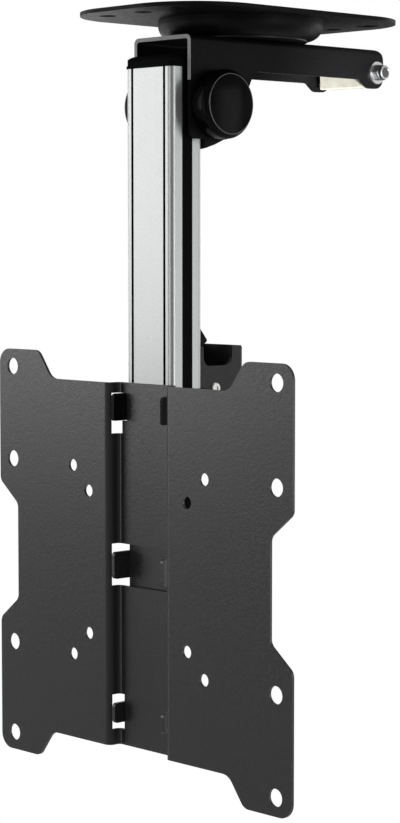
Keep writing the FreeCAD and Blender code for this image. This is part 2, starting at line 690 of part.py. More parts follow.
# U-shaped saddle: its web is screwed to the column's back and its cheeks turn on the hinge bolt
def build_saddle():
    body = new_body("hinge_saddle")
    top = HINGE_Z + SADDLE_TOP
    foot = HINGE_Z - SADDLE_FOOT
    cheek = HINGE_Y + SADDLE_CHEEK
    web_back = COLUMN_BACK + SADDLE_SHEET
    pad(body, "XY", foot, top,
        outline(channel_section(CHEEK_OUT, SADDLE_SHEET, SADDLE_SHEET * 1.2, cheek, COLUMN_BACK)))
    lobe = SADDLE_CHEEK * 0.85
    trim(body, "YZ", -CHEEK_OUT, CHEEK_OUT, [
        (COLUMN_BACK, top), (COLUMN_BACK, foot), (HINGE_Y + 2, foot + 2.5, lobe / 3),
        (cheek, HINGE_Z - SADDLE_CHEEK * 0.9, lobe), (cheek, top, lobe)])
    pocket(body, "XZ", COLUMN_BACK, web_back + SADDLE_SHEET / 2,
           box(-CHEEK_IN, CHEEK_IN, HINGE_Z - SADDLE_WINDOW, HINGE_Z + SADDLE_WINDOW))
    pocket(body, "YZ", -CHEEK_OUT, CHEEK_OUT, circle(HINGE_Y, HINGE_Z, HINGE_BOLT + RUNNING))
    for across, up in saddle_screw_spots():
        pocket(body, "XZ", COLUMN_BACK, web_back, circle(across, up, SCREW + LOOSE))


# Domed screws along Y: their heads sit on the plane y = seat and their threads run forwards
def build_back_screws(name, spots, seat, length):
    for number, (across, up) in enumerate(spots, 1):
        screw = new_body(f"{name}_{number}")
        round_start = seat + SCREW_HEAD_HEIGHT
        turned(screw, "Y", (across, up), [
            (seat - length, 0), (seat - length, SCREW), (seat, SCREW), (seat, SCREW_HEAD),
            (round_start, SCREW_HEAD * 0.7), (round_start, 0)])


def build_column():
    body = new_body("column")
    pad(body, "XY", COLUMN_LOW, COLUMN_TOP,
        rounded_box(-COLUMN_HALF, COLUMN_HALF, COLUMN_FRONT, COLUMN_BACK, COLUMN_CORNER))
    pocket(body, "XY", COLUMN_LOW, COLUMN_TOP, box(-CAVITY_HALF, CAVITY_HALF, CAVITY_FRONT, CAVITY_BACK))
    slot_front = SLOT_MIDDLE - SIDE_SLOT / 2
    slot_back = SLOT_MIDDLE + SIDE_SLOT / 2
    slot_floor = COLUMN_HALF - SIDE_SLOT_DEPTH
    for side in (-1, 1):
        edges = sorted((slot_floor * side, (COLUMN_HALF + 1) * side), key=plain)
        pocket(body, "XY", COLUMN_LOW, COLUMN_TOP, box(edges[0], edges[1], slot_front, slot_back))
        middle = GROOVE_OFFSET * side
        pocket(body, "XY", COLUMN_LOW, COLUMN_TOP,
               box(middle - GROOVE_WIDTH / 2, middle + GROOVE_WIDTH / 2, COLUMN_FRONT - 1,
                   COLUMN_FRONT + GROOVE_DEPTH))
    for across, up in saddle_screw_spots() + housing_screw_spots():
        pocket(body, "XZ", CAVITY_BACK, COLUMN_BACK, circle(across, up, SCREW + THREAD))
    for up in foot_screw_levels():
        grooved(body, "Y", (0, up), [
            (COLUMN_FRONT, 0), (COLUMN_FRONT, SCREW_HEAD),
            (COLUMN_FRONT + SCREW_HEAD - SCREW, SCREW + THREAD),
            (CAVITY_FRONT + LOOSE, SCREW + THREAD), (CAVITY_FRONT + LOOSE, 0)])


def build_column_trim():
    cap = new_body("column_head_cap")
    lip = COLUMN_HALF + HEAD_LIP
    front = COLUMN_FRONT - HEAD_LIP
    rim = COLUMN_TOP + HEAD_RIM
    head = COLUMN_TOP + HEAD_CAP
    pad(cap, "XY", COLUMN_TOP, rim, rounded_box(-lip, lip, front, COLUMN_BACK, COLUMN_CORNER))
    pad(cap, "XY", rim, head,
        rounded_box(-COLUMN_HALF, COLUMN_HALF, COLUMN_FRONT, COLUMN_BACK, COLUMN_CORNER))
    trim(cap, "XZ", front, COLUMN_BACK, [
        (-lip, COLUMN_TOP), (lip, COLUMN_TOP), (lip, rim), (COLUMN_HALF, rim),
        (COLUMN_HALF, head, HEAD_ROUND), (-COLUMN_HALF, head, HEAD_ROUND), (-COLUMN_HALF, rim), (-lip, rim)])
    trim(cap, "YZ", -lip, lip, [
        (front, COLUMN_TOP), (COLUMN_BACK, COLUMN_TOP), (COLUMN_BACK, head, HEAD_ROUND / 2),
        (COLUMN_FRONT, head, HEAD_ROUND), (COLUMN_FRONT, rim), (front, rim)])
    pad(cap, "XY", COLUMN_TOP - PLUG_DEPTH, COLUMN_TOP,
        box(-CAVITY_HALF + LOOSE, CAVITY_HALF - LOOSE, CAVITY_FRONT + LOOSE, CAVITY_BACK - SADDLE_SCREW_TIP))
    for name, side in (("side_strip_left", -1), ("side_strip_right", 1)):
        strip = new_body(name)
        edges = sorted(((COLUMN_HALF - SIDE_SLOT_DEPTH) * side, (COLUMN_HALF - RUB * 4) * side), key=plain)
        pad(strip, "XY", COLUMN_LOW, COLUMN_TOP,
            box(edges[0], edges[1], SLOT_MIDDLE - SIDE_SLOT / 2 + RUB, SLOT_MIDDLE + SIDE_SLOT / 2 - RUB))


# Right half of the screen plate's outline, from the top middle to the bottom middle
def plate_corners():
    half = PLATE_WIDTH / 2
    top = PLATE_HEIGHT / 2
    middle = PLATE_MIDDLE / 2
    waist = half - WAIST_INSET
    shoulder = half - TAB_WIDTH
    upper = [
        (shoulder - TAB_SLOPE, middle, PLATE_CORNER), (shoulder, top, PLATE_CORNER * 0.8),
        (half, top, PLATE_CORNER), (half, top - PLATE_SIDE, PLATE_CORNER * 0.6),
        (waist, top - PLATE_SIDE - PLATE_STEP, PLATE_CORNER * 0.6)]
    lower = [(across, PLATE_Z - up, radius) for across, up, radius in reversed(upper)]
    return [(across, PLATE_Z + up, radius) for across, up, radius in upper] + lower


def build_tv_plate():
    body = new_body("tv_plate")
    half = PLATE_WIDTH / 2
    top = PLATE_Z + PLATE_HEIGHT / 2
    low = PLATE_Z - PLATE_HEIGHT / 2
    inside = RECESS_BEND - PLATE_SHEET
    right_front = [
        (WALL_IN, PANEL_FRONT, inside), (WALL_IN, WING_FRONT, RECESS_BEND), (half, WING_FRONT)]
    right_back = [
        (half, WING_BACK), (WALL_OUT, WING_BACK, inside), (WALL_OUT, PANEL_BACK, RECESS_BEND)]
    right = right_front + right_back
    left = [(-corner[0],) + corner[1:] for corner in reversed(right)]
    pad(body, "XY", low, top, outline(right + left))
    corners = plate_corners()
    mirrored = [(-across, up, radius) for across, up, radius in reversed(corners)]
    trim(body, "XZ", WING_FRONT - 1, PANEL_BACK + 1, corners + mirrored)
    cut_screen_holes(body)
    cut_hook_windows(body)


def cut_screen_holes(body):
    rows = [
        (SCREEN_PITCH, SCREEN_RISE, SCREEN_HOLE), (SCREEN_PITCH, SCREEN_HALF_PITCH, SCREEN_HOLE),
        (SCREEN_HALF_PITCH, SCREEN_HALF_PITCH, SCREEN_SMALL_HOLE),
        (SCREEN_SMALL_PITCH, SCREEN_SMALL_PITCH, SCREEN_SMALL_HOLE)]
    for across, up, radius in rows:
        spots = [(side, end) for side in (-1, 1) for end in (-1, 1)]
        pocket(body, "XZ", WING_FRONT, WING_BACK,
               *[circle(across / 2 * side, PLATE_Z + up / 2 * end, radius) for side, end in spots])


# Windows where the hooks come forward through the recess's corners
def cut_hook_windows(body):
    depth = WING_BACK + RECESS_BEND / 5
    reach = WALL_OUT + 1
    for side in (-1, 1):
        for inner, foot, head in (
                (WINDOW_IN, HOOK_FOOT - LOOSE, HOOK_TOP + LOOSE),
                (HOOK_OUT - 1, HOOK_FOOT - WINDOW_DROP, HOOK_FOOT - LOOSE),
                (COLUMN_HALF, -LOW_HOOK_FOOT - WINDOW_ROOM, WINDOW_ROOM - LOW_HOOK_TOP)):
            edges = sorted((inner * side, reach * side), key=plain)
            pocket(body, "XZ", depth, PANEL_BACK + 1,
                   box(edges[0], edges[1], PLATE_Z + foot, PLATE_Z + head))
    pocket(body, "XZ", depth, PANEL_BACK + 1,
           box(-reach, reach, PLATE_Z - MIDDLE_HOOK - WINDOW_ROOM, PLATE_Z + MIDDLE_HOOK + WINDOW_ROOM))


# U-shaped strap round the column's back whose ends are the upper hooks
def build_upper_strap():
    body = new_body("upper_strap")
    foot = PLATE_Z + HOOK_FOOT
    top = PLATE_Z + HOOK_TOP
    back_top = PLATE_Z + STRAP_BACK_TOP
    pad(body, "XY", foot, back_top,
        outline(channel_section(HOOK_OUT, STRAP_SHEET, STRAP_SHEET * 1.4, HOOK_TIP, STRAP_BACK)))
    trim(body, "YZ", -HOOK_OUT, HOOK_OUT, [
        (HOOK_TIP, foot, STRAP_SHEET / 2), (STRAP_BACK, foot), (STRAP_BACK, back_top),
        (COLUMN_FRONT + 4, back_top, STRAP_SHEET), (COLUMN_FRONT + 1, top, STRAP_SHEET),
        (HOOK_TIP, top, STRAP_SHEET)])


def foot_screw_levels():
    middle = (COLUMN_LOW + PLATE_Z + FOOT_TOP) / 2
    return [middle - FOOT_SCREW_PITCH / 2, middle + FOOT_SCREW_PITCH / 2]


# Strip below the column: its tongue fills the column's front inside, its bent ears are hooks
def build_foot_bracket():
    body = new_body("foot_bracket")
    front = CAVITY_FRONT + RUB
    back = front + STRAP_SHEET
    low = PLATE_Z - FOOT_LOW
    top = PLATE_Z + FOOT_TOP
    neck = CAVITY_HALF - LOOSE
    wide = COLUMN_HALF
    pad(body, "XZ", front, back, outline([
        (-wide, low), (wide, low), (wide, COLUMN_LOW - 1), (neck, COLUMN_LOW - 1), (neck, top), (-neck, top),
        (-neck, COLUMN_LOW - 1), (-wide, COLUMN_LOW - 1)]))
    for side in (-1, 1):
        for foot, head in ((-MIDDLE_HOOK, MIDDLE_HOOK), (-LOW_HOOK_FOOT, -LOW_HOOK_TOP)):
            edges = sorted(((wide - 1) * side, HOOK_OUT * side), key=plain)
            pad(body, "XZ", front, back, box(edges[0], edges[1], PLATE_Z + foot, PLATE_Z + head))
            ear = sorted((HOOK_IN * side, HOOK_OUT * side), key=plain)
            pad(body, "YZ", ear[0], ear[1], outline([
                (HOOK_TIP, PLATE_Z + foot, STRAP_SHEET), (back, PLATE_Z + foot), (back, PLATE_Z + head),
                (HOOK_TIP, PLATE_Z + head, STRAP_SHEET)]))
    fillet(body, "Z", STRAP_SHEET, (HOOK_OUT, back), (-HOOK_OUT, back))
    for up in foot_screw_levels():
        pocket(body, "XZ", front, back, circle(0, up, SCREW + THREAD))


def build_foot_screws():
    for number, up in enumerate(foot_screw_levels(), 1):
        screw = new_body(f"foot_screw_{number}")
        tip = CAVITY_FRONT + RUB + STRAP_SHEET + 1
        turned(screw, "Y", (0, up), [
            (COLUMN_FRONT, 0), (COLUMN_FRONT, SCREW_HEAD), (COLUMN_FRONT + SCREW_HEAD - SCREW, SCREW),
            (tip, SCREW), (tip, 0)])


def housing_screw_spots():
    upper = PLATE_Z + STRAP_BACK_TOP + HOUSING_SCREW_RISE
    lower = PLATE_Z + HOOK_FOOT - HOUSING_SCREW_DROP
    return [(0, upper), (0, lower)]


# Latch housing: two flanges joined by a rear web, with feet on the column above and below the strap
def build_latch_housing():
    body = new_body("latch_housing")
    low = PLATE_Z + HOUSING_FOOT
    top = PLATE_Z + HOUSING_TOP
    strap_low = PLATE_Z + HOOK_FOOT - LOOSE
    strap_top = PLATE_Z + STRAP_BACK_TOP + LOOSE
    clear = STRAP_BACK + LOOSE
    inner = HOUSING_HALF - HOUSING_SHEET
    foot_back = COLUMN_BACK + HOUSING_SHEET
    notch_floor = top - NOTCH_DEPTH
    notch_front = COLUMN_BACK + NOTCH_FRONT
    notch_rear = COLUMN_BACK + NOTCH_REAR
    web = HOUSING_BACK - HOUSING_SHEET
    pad(body, "XY", low, top, outline(
        channel_section(HOUSING_HALF, HOUSING_SHEET, HOUSING_SHEET * 1.4, COLUMN_BACK, HOUSING_BACK)))
    trim(body, "YZ", -HOUSING_HALF, HOUSING_HALF, [
        (COLUMN_BACK, low), (HOUSING_BACK, low, HOUSING_SHEET * 2), (HOUSING_BACK, top, HOUSING_SHEET),
        (COLUMN_BACK, top), (COLUMN_BACK, strap_top), (clear, strap_top), (clear, strap_low),
        (COLUMN_BACK, strap_low)])
    trim(body, "XZ", web, HOUSING_BACK, [
        (-HOUSING_HALF, low), (HOUSING_HALF, low), (HOUSING_HALF, top, WEB_ROUND),
        (-HOUSING_HALF, top, WEB_ROUND)])
    pocket(body, "YZ", inner, HOUSING_HALF, outline([
        (notch_front, top + 1), (notch_front, notch_floor, NOTCH_DEPTH * 0.45),
        (notch_rear, notch_floor, NOTCH_DEPTH * 0.45), (notch_rear, top + 1)]))
    for foot, head in ((low, strap_low), (strap_top, notch_floor)):
        pad(body, "XY", foot, head, box(-inner - 1, inner + 1, COLUMN_BACK, foot_back))
    ear_y = HOUSING_BACK - SPRING_INSET
    ear_low = PLATE_Z + SPRING_TOP
    pad(body, "XY", ear_low, ear_low + HOUSING_SHEET,
        box(LATCH_LEFT - SPRING_RADIUS - 1, -inner, ear_y - HOUSING_SHEET * 2, ear_y + HOUSING_SHEET * 2))
    pin_y = COLUMN_BACK + LATCH_PIN_BACK
    for up in (LATCH_PIN_UP, LATCH_PIN_LOW):
        pocket(body, "YZ", -HOUSING_HALF, HOUSING_HALF, circle(pin_y, PLATE_Z + up, LATCH_PIN + THREAD))
    for across, up in housing_screw_spots():
        pocket(body, "XZ", COLUMN_BACK, foot_back, circle(across, up, SCREW + LOOSE))
        pocket(body, "XZ", web, HOUSING_BACK, circle(across, up, SCREW_HEAD + 1))


# Latch plate on the housing's left side: a claw at its top, a finger tab at its foot
def build_latch_slide():
    body = new_body("latch_slide")
    front = COLUMN_BACK + SLIDE_FRONT
    back = COLUMN_BACK + SLIDE_BACK
    foot = PLATE_Z + SLIDE_FOOT
    lug_top = PLATE_Z + SPRING_FOOT
    lug_foot = lug_top - LATCH_SHEET
    lug_back = back + SLIDE_LUG
    head = PLATE_Z + CLAW_HEAD
    roof = PLATE_Z + CLAW_ROOF
    inside = COLUMN_BACK + CLAW_INSIDE
    pad(body, "YZ", LATCH_LEFT, LATCH_RIGHT, outline([
        (front, foot), (back, foot), (back, lug_foot, CLAW_ROUND), (lug_back, lug_foot, CLAW_ROUND),
        (lug_back, lug_top, CLAW_ROUND), (back, lug_top, CLAW_ROUND), (back, roof, CLAW_ROUND * 2),
        (inside, roof, END_BOLT), (inside, PLATE_Z + CLAW_NOSE, CLAW_ROUND / 2),
        (COLUMN_BACK + CLAW_TIP, PLATE_Z + CLAW_TIP_LEVEL, CLAW_ROUND),
        (COLUMN_BACK + CLAW_CROWN, head, CLAW_ROUND * 2), (front, head, CLAW_ROUND * 4)]))
    tab = LATCH_LEFT - TAB_REACH
    pad(body, "XY", foot, foot + TAB_SHEET, outline([
        (LATCH_RIGHT, front), (LATCH_RIGHT, back), (tab, back, LATCH_SHEET), (tab, front, LATCH_SHEET)]))
    pin_y = COLUMN_BACK + LATCH_PIN_BACK
    width = LATCH_PIN + LOOSE
    for up in (LATCH_PIN_UP, LATCH_PIN_LOW):
        low = PLATE_Z + up - LATCH_TRAVEL
        high = PLATE_Z + up
        pocket(body, "YZ", LATCH_LEFT, LATCH_RIGHT, box(pin_y - width, pin_y + width, low, high))
        for level in (low, high):
            pocket(body, "YZ", LATCH_LEFT, LATCH_RIGHT, circle(pin_y, level, width))


def build_latch_pins():
    pin_y = COLUMN_BACK + LATCH_PIN_BACK
    left = LATCH_LEFT - LOOSE
    left_end = left - RIVET_HEAD
    right_end = HOUSING_HALF + RIVET_HEAD
    for name, up in (("latch_pin_upper", LATCH_PIN_UP), ("latch_pin_lower", LATCH_PIN_LOW)):
        pin = new_body(name)
        turned(pin, "X", (pin_y, PLATE_Z + up), [
            (left_end, 0), (left_end, LATCH_PIN * 1.4), (left, LATCH_PIN * 1.4), (left, LATCH_PIN),
            (HOUSING_HALF, LATCH_PIN), (HOUSING_HALF, LATCH_PIN * 1.2),
            (right_end - RIVET_HEAD / 2, LATCH_PIN * 1.2), (right_end, LATCH_PIN),
            (right_end, LATCH_PIN / 2), (right_end - RIVET_HEAD / 2, LATCH_PIN / 2),
            (right_end - RIVET_HEAD / 2, 0)])


# Coil spring as one helical wire between the housing's ear and the slide's lug
def build_latch_spring():
    spring = doc.addObject("Part::Feature", "latch_spring")
    spring.Label = "latch_spring"
    bodies.append(spring)
    low = plain(PLATE_Z + SPRING_FOOT + SPRING_WIRE)
    high = plain(PLATE_Z + SPRING_TOP - SPRING_WIRE)
    radius = plain(SPRING_RADIUS - SPRING_WIRE)
    helix = Part.makeHelix((high - low) / SPRING_TURNS, high - low, radius)
    start = FreeCAD.Vector(radius, 0, 0)
    section = Part.Wire([Part.makeCircle(plain(SPRING_WIRE), start, FreeCAD.Vector(0, 1, 0))])
    spring.Shape = Part.Wire(helix.Edges).makePipeShell([section], True, True)
    across = plain(LATCH_RIGHT - LOOSE - SPRING_RADIUS)
    back = plain(HOUSING_BACK - SPRING_INSET)
    spring.Placement = FreeCAD.Placement(FreeCAD.Vector(across, back, low), FreeCAD.Rotation())


def build_arm_end():
    axis = (END_Y, END_Z)
    outside = ARM_HALF + END_WASHER_SHEET
    collar = outside + END_NUT - END_COLLAR_HEIGHT
    bolt = new_body("end_bolt")
    rod(bolt, "X", axis, END_BOLT, -outside, outside + END_NUT + LOOSE)
    hex_prism(bolt, "X", axis, END_NUT_FLATS, -outside - END_HEAD, -outside)
    bevel_corners(bolt, "X", axis, END_NUT_FLATS, -outside - END_HEAD, 1)
    left = new_body("end_washer_left")
    tube(left, "X", axis, END_WASHER, END_BOLT + LOOSE, -outside, -ARM_HALF)
    right = new_body("end_washer_right")
    tube(right, "X", axis, END_WASHER, END_BOLT + LOOSE, ARM_HALF, outside)
    nut = new_body("end_lock_nut")
    hex_prism(nut, "X", axis, END_NUT_FLATS, outside, collar)
    bevel_corners(nut, "X", axis, END_NUT_FLATS, collar, -1)
    rod(nut, "X", axis, END_COLLAR, collar - 1, outside + END_NUT)
    pocket(nut, "YZ", outside, outside + END_NUT, circle(END_Y, END_Z, END_BOLT + THREAD))
    block = new_body("catch_block")
    pad(block, "YZ", -BLOCK_LEFT, ARM_INNER - LOOSE,
        rounded_box(END_Y - BLOCK_FRONT, END_Y + BLOCK_REAR, END_Z - BLOCK_FOOT, END_Z + BLOCK_HEAD,
                    CLAW_ROUND / 2))
    pocket(block, "YZ", -BLOCK_LEFT, ARM_INNER, circle(END_Y, END_Z, END_BOLT + LOOSE))


def write_parts():
    doc.recompute()
    for item in doc.Objects:
        if "Invalid" in item.State or "Error" in item.State:
            raise ValueError(f"{item.Label} is {item.State}")
    os.makedirs("parts", exist_ok=True)
    for body in bodies:
        if body.Shape.isNull() or not body.Shape.isValid():
            raise ValueError(f"{body.Label} has no valid shape")
        body.Shape.exportStep(f"parts/{body.Label}.step")


build_ceiling_plate()
build_swivel()
build_arm()
build_hinge()
build_saddle()
build_back_screws("saddle_screw", saddle_screw_spots(), COLUMN_BACK + SADDLE_SHEET, SADDLE_SCREW_LENGTH)
build_column()
build_column_trim()
build_tv_plate()
build_upper_strap()
build_foot_bracket()
build_foot_screws()
build_latch_housing()
build_back_screws("housing_screw", housing_screw_spots(), COLUMN_BACK + HOUSING_SHEET, HOUSING_SCREW_LENGTH)
build_latch_slide()
build_latch_pins()
build_latch_spring()
build_arm_end()
write_parts()
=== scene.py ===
import json
import math

import bpy
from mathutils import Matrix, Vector


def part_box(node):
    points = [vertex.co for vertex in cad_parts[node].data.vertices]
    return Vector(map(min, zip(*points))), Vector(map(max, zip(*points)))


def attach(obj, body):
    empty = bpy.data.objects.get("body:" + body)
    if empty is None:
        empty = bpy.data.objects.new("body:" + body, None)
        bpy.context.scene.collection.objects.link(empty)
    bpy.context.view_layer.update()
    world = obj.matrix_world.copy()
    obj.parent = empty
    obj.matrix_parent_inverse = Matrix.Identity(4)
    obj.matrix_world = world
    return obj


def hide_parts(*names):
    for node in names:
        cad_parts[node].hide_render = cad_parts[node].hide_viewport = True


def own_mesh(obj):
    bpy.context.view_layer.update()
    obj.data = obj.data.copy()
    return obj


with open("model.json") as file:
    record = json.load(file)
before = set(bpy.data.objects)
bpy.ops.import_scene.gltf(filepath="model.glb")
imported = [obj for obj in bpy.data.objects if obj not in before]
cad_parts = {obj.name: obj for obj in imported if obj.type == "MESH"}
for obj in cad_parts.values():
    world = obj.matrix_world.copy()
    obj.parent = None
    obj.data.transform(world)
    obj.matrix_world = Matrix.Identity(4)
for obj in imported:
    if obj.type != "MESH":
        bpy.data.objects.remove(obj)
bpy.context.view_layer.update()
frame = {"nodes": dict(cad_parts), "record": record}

# The photograph's camera: place in metres, angles in degrees, lens and sensor in millimetres
CAMERA_PLACE = (0.84264, -0.82488, -0.11698)
CAMERA_AZIMUTH = 46.64
CAMERA_PITCH = 4.35
CAMERA_LENS = 97.58
SENSOR_LONG_SIDE = 36.0

# Bead on each hinge cap and rolled rim on the end nut, in metres; a drop is measured in from the node's
# end, and the softening is a share of the section's thinner side
CAP_BEAD_RADIUS = 0.0151
CAP_BEAD = 0.0006
CAP_BEAD_DROP = 0.00125
NUT_RIM_RADIUS = 0.00315
NUT_RIM = 0.0011
NUT_RIM_WIDTH = 0.001
NUT_RIM_DROP = 0.0002
RING_STEPS = 72
RING_SOFTENING = 0.42

# Plugs in the latch housing's screwdriver holes, in metres, with sides, degrees, and how squarely a
# face must look one way to be picked
PLUG_FLANGE = 0.0056
PLUG_SHEET = 0.0009
PLUG_SIDES = 48
PLUG_STEM_INSET = 0.0011
PLUG_STEM = 0.0019
PLUG_DISH_INSET = 0.00154
PLUG_DISH = 0.0003
PLUG_SOFTENING = 0.000225
PLUG_SMOOTH_ANGLE = 30
FACING = 0.9

# Latch spring: wire radius and the play at each end in metres, then its turns and divisions
SPRING_WIRE = 0.0005
SPRING_PLAY = 0.00002
SPRING_TURNS = 5
SPRING_SIDES = 16
SPRING_STEPS = 32
SPRING_SMOOTH_ANGLE = 40

# Shared by the pieces made here and the CAD nodes: metres, divisions and degrees
MERGE_DISTANCE = 0.000001
SOFT_SEGMENTS = 3
NODE_SMOOTH_ANGLE = 28

# Painted shade inside the grooves in the column's front: across the front, then into it, in metres
GROOVE_OFFSET = 0.012
GROOVE_HALF = 0.00095
GROOVE_SHADE_START = 0.00015
GROOVE_SHADE_END = 0.002

# Front edge of the arm's sheet, partly bare edge and partly painted highlight, which ends at its foot's level
# where the edge lies in shade: that level, and the band before and behind it, in metres
EDGE_FOOT = -0.036
EDGE_BEFORE = 0.001
EDGE_BEHIND = 0.0003

# Painted shade on the bends along the screen plate's recess, which also turn dull: across the plate, then the
# front and back left out
RECESS_BEND_IN = 0.0185
RECESS_BEND_OUT = 0.0246
RECESS_FRONT_SKIN = 0.0001
RECESS_BACK_SKIN = 0.0017
RECESS_ROUGHNESS = 0.75

# Finishes' colours in linear light
# painted shade inside the column's grooves
GROOVE_PAINTED_SHADE = (0.02, 0.02, 0.02)
# the arm's front edge: partly the bare edge's grey, partly painted highlight
EDGE_AND_HIGHLIGHT_GREY = (0.50, 0.50, 0.50)
# painted shade on the screen plate's recess bends
RECESS_PAINTED_SHADE = (0.004, 0.004, 0.004)
COAT_BLACK = (0.0055, 0.0055, 0.006)
COAT_CHARCOAL = (0.008, 0.008, 0.0085)
COAT_BRACKET = (0.016, 0.016, 0.017)
MOULDED_BLACK = (0.0035, 0.0035, 0.004)
STRIP_BLACK = (0.006, 0.006, 0.006)
ANODISED_SILVER = (0.60, 0.61, 0.61)
ZINC_BRIGHT = (0.82, 0.82, 0.80)
ZINC_DARK = (0.16, 0.16, 0.17)
NYLON_CREAM = (0.88, 0.86, 0.74)

# Finishes' relief: the band that most noise values lie in, and the shares of the slower patterns
NOISE_LOW = 0.3
NOISE_HIGH = 0.7
PEEL_SHARE = 0.6
LINE_SHARE = 0.25
LINE_STRETCH = 0.012
BUMP_STRENGTH = 0.6
COAT_ROUGHNESS = 0.34

# The camera and clear things see a white room and floor. Other rays meet the room at ROOM_LEVEL, and
# glossy rays the floor's white at FLOOR_GLOSS, because at full strength the black coats turn grey
WHITE_RAYS = (("Is Camera Ray", 1.0), ("Is Transmission Ray", 1.0))
ROOM_LEVEL = 0.2
FLOOR_GLOSS = 0.13
WHITE = (1, 1, 1, 1)

# Floor: side and level in metres, colour and roughness
FLOOR_SIZE = 12
FLOOR_LEVEL = -1.25
FLOOR_COLOUR = (0.8, 0.8, 0.8, 1)
FLOOR_ROUGHNESS = 0.9

# Softboxes: name, place, target, width and height in metres, power in watts
PART_MIDDLE = (0.0, -0.04, -0.15)
SOFTBOXES = (
    ("front_left", (-0.78, -0.72, 0.1), PART_MIDDLE, 0.5, 0.8, 2.05),
    ("front", (0.05, -1.3, -0.2), PART_MIDDLE, 0.7, 1.1, 2.0),
    ("right", (1.3, 0.12, -0.25), PART_MIDDLE, 0.6, 0.9, 3.0),
    ("right_rear", (1.15, 0.96, -0.15), PART_MIDDLE, 0.5, 0.78, 1.3),
    ("back_left", (-1.09, 0.55, -0.32), (-0.05, -0.04, 0), 0.5, 0.4, 1.0),
    ("back", (0.1, 1.3, -0.25), PART_MIDDLE, 0.8, 1.0, 3.0),
    ("left", (-1.3, -0.1, -0.25), PART_MIDDLE, 0.6, 0.9, 2.4),
    ("overhead", (0.0, 0.0, 1.3), PART_MIDDLE, 1.2, 1.2, 5.0),
)

# Narrow spot on the cream catch block: metres, degrees, softness, watts
KICKER_PLACE = (0.55, -0.1, -0.25)
KICKER_TARGET = (0.016, 0.06, -0.036)
KICKER_CONE = 6
KICKER_BLEND = 0.5
KICKER_RADIUS = 0.03
KICKER_POWER = 58


# Nodes that the shader groups and the materials share

# A number goes onto the socket, and another node's output is linked to it
def feed(tree, socket, value):
    if isinstance(value, (int, float)):
        socket.default_value = value
    else:
        tree.links.new(value, socket)


def add_noise(tree, vector, scale, detail, roughness=0.5):
    noise = tree.nodes.new("ShaderNodeTexNoise")
    noise.inputs["Detail"].default_value = detail
    noise.inputs["Roughness"].default_value = roughness
    tree.links.new(vector, noise.inputs["Vector"])
    feed(tree, noise.inputs["Scale"], scale)
    return noise.outputs["Fac"]


def add_range(tree, value, low, high, out_low, out_high):
    node = tree.nodes.new("ShaderNodeMapRange")
    node.inputs["From Min"].default_value = low
    node.inputs["From Max"].default_value = high
    feed(tree, node.inputs["To Min"], out_low)
    feed(tree, node.inputs["To Max"], out_high)
    tree.links.new(value, node.inputs["Value"])
    return node.outputs["Result"]


def add_math(tree, operation, first, second=0.0):
    node = tree.nodes.new("ShaderNodeMath")
    node.operation = operation
    feed(tree, node.inputs[0], first)
    feed(tree, node.inputs[1], second)
    return node.outputs["Value"]


def add_tint(tree, colour, pattern, dark, light):
    shade = add_range(tree, pattern, NOISE_LOW, NOISE_HIGH, dark, light)
    scale = tree.nodes.new("ShaderNodeVectorMath")
    scale.operation = "SCALE"
    tree.links.new(colour, scale.inputs[0])
    tree.links.new(shade, scale.inputs["Scale"])
    return scale.outputs["Vector"]


# Shader groups

# Each group takes a place, a colour, a roughness and scales of its own, and gives back a varied
# colour and roughness with a height
def open_group(name, scales):
    group = bpy.data.node_groups.new(name, "ShaderNodeTree")
    inputs = (("Vector", "NodeSocketVector"), ("Colour", "NodeSocketColor"), ("Roughness", "NodeSocketFloat"))
    for label, kind in inputs:
        group.interface.new_socket(label, in_out="INPUT", socket_type=kind)
    for label, scale in scales:
        socket = group.interface.new_socket(label, in_out="INPUT", socket_type="NodeSocketFloat")
        socket.default_value = scale
    outputs = (("Colour", "NodeSocketColor"), ("Roughness", "NodeSocketFloat"), ("Height", "NodeSocketFloat"))
    for label, kind in outputs:
        group.interface.new_socket(label, in_out="OUTPUT", socket_type=kind)
    return group, group.nodes.new("NodeGroupInput").outputs


def close_group(group, colour, roughness, height):
    leave = group.nodes.new("NodeGroupOutput")
    group.links.new(colour, leave.inputs["Colour"])
    group.links.new(roughness, leave.inputs["Roughness"])
    group.links.new(height, leave.inputs["Height"])
    return group


def vary_roughness(group, given, pattern, less, more):
    change = add_range(group, pattern, NOISE_LOW, NOISE_HIGH, -less, more)
    return add_math(group, "ADD", change, given["Roughness"])


# Cured powder: pinhead grain over a slow orange peel
def make_powder_group():
    group, given = open_group("powder_grain", (("Grain", 1500.0), ("Peel", 420.0)))
    grain = add_noise(group, given["Vector"], scale=given["Grain"], detail=2.0, roughness=0.6)
    peel = add_noise(group, given["Vector"], scale=given["Peel"], detail=1.0)
    drift = add_noise(group, given["Vector"], scale=14.0, detail=2.0)
    speckled = add_tint(group, given["Colour"], grain, dark=0.55, light=1.6)
    colour = add_tint(group, speckled, drift, dark=0.93, light=1.07)
    roughness = vary_roughness(group, given, peel, less=0.06, more=0.06)
    height = add_math(group, "ADD", grain, add_math(group, "MULTIPLY", peel, PEEL_SHARE))
    return close_group(group, colour, roughness, height)


# Extruded metal: die lines along Z with the fine pits of matt anodising
def make_die_line_group():
    group, given = open_group("die_lines", (("Lines", 900.0), ("Pits", 1500.0)))
    stretch = group.nodes.new("ShaderNodeMapping")
    stretch.inputs["Scale"].default_value = (1.0, 1.0, LINE_STRETCH)
    group.links.new(given["Vector"], stretch.inputs["Vector"])
    lines = add_noise(group, stretch.outputs["Vector"], scale=given["Lines"], detail=3.0, roughness=0.65)
    pits = add_noise(group, given["Vector"], scale=given["Pits"], detail=2.0, roughness=0.7)
    speckled = add_tint(group, given["Colour"], pits, dark=0.86, light=1.12)
    colour = add_tint(group, speckled, lines, dark=0.985, light=1.015)
    roughness = vary_roughness(group, given, pits, less=0.05, more=0.08)
    height = add_math(group, "ADD", add_math(group, "MULTIPLY", lines, LINE_SHARE), pits)
    return close_group(group, colour, roughness, height)


